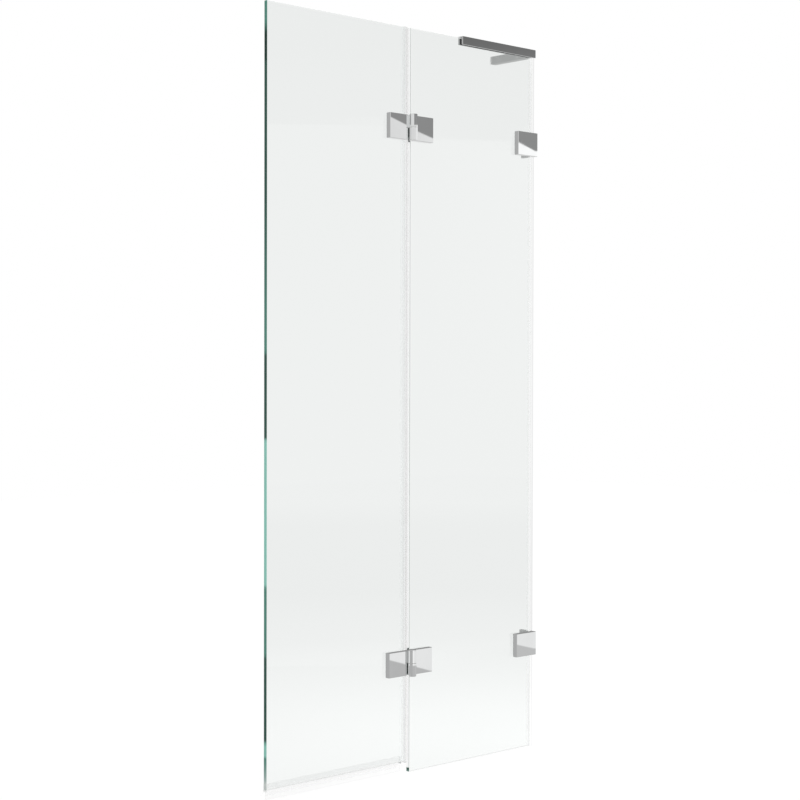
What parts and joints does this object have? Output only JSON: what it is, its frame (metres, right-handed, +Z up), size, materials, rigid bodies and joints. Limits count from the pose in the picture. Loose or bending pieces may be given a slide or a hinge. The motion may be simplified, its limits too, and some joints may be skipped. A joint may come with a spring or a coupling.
{
  "type": "bath screen",
  "caption": "Frameless folding bath screen: a fixed glass pane with wall brackets and a brace, and a glass door hinged to its free edge.",
  "frame": {"origin": "corner where the wall plane, the middle of the glass thickness and the bath rim meet", "axes": "+Z up along the wall, +X into the wall, -Y the side that the door folds to"},
  "size_m": [0.737, 0.1415, 1.5034],
  "materials": {
    "glass": "clear toughened glass with polished green edges",
    "chrome": "polished chrome plate",
    "clear_seal": "clear stiff PVC",
    "soft_seal": "clear soft PVC",
    "gasket": "thin grey translucent rubber sheet",
    "nylon": "natural nylon",
    "screw_steel": "stainless steel"
  },
  "bodies": {
    "screen": {"brace_channel": "chrome", "brace_grub_screws": "screw_steel", "brace_joint_screws": "screw_steel", "brace_leg": "chrome", "brace_liner": "gasket", "bracket_lower_body": "chrome", "bracket_lower_bolts": "screw_steel", "bracket_lower_gasket": "gasket", "bracket_lower_sleeves": "nylon", "bracket_upper_body": "chrome", "bracket_upper_bolts": "screw_steel", "bracket_upper_gasket": "gasket", "bracket_upper_sleeves": "nylon", "fixed_glass": "glass", "hinge_lower_fixed_bolts": "screw_steel", "hinge_lower_fixed_bush": "nylon", "hinge_lower_fixed_gasket": "gasket", "hinge_lower_fixed_leaf": "chrome", "hinge_lower_fixed_sleeves": "nylon", "hinge_lower_pin": "chrome", "hinge_lower_pin_cap": "chrome", "hinge_lower_washer": "nylon", "hinge_upper_fixed_bolts": "screw_steel", "hinge_upper_fixed_bush": "nylon", "hinge_upper_fixed_gasket": "gasket", "hinge_upper_fixed_leaf": "chrome", "hinge_upper_fixed_sleeves": "nylon", "hinge_upper_pin": "chrome", "hinge_upper_pin_cap": "chrome", "hinge_upper_washer": "nylon", "wall_seal_lower": "clear_seal", "wall_seal_middle": "clear_seal", "wall_seal_upper": "clear_seal"},
    "door": {"door_bottom_lip": "soft_seal", "door_bottom_seal": "clear_seal", "door_edge_seal": "clear_seal", "door_glass": "glass", "hinge_lower_door_bolts": "screw_steel", "hinge_lower_door_bush": "nylon", "hinge_lower_door_gasket": "gasket", "hinge_lower_door_leaf": "chrome", "hinge_lower_door_sleeves": "nylon", "hinge_upper_door_bolts": "screw_steel", "hinge_upper_door_bush": "nylon", "hinge_upper_door_gasket": "gasket", "hinge_upper_door_leaf": "chrome", "hinge_upper_door_sleeves": "nylon"}
  },
  "joints": [
    {"name": "door_fold", "type": "hinge", "parent": "screen", "child": "door", "pos_m": [-0.3732, -0.0188, 0.223], "axis": [0, 0, 1], "range_deg": [0, 180]}
  ]
}
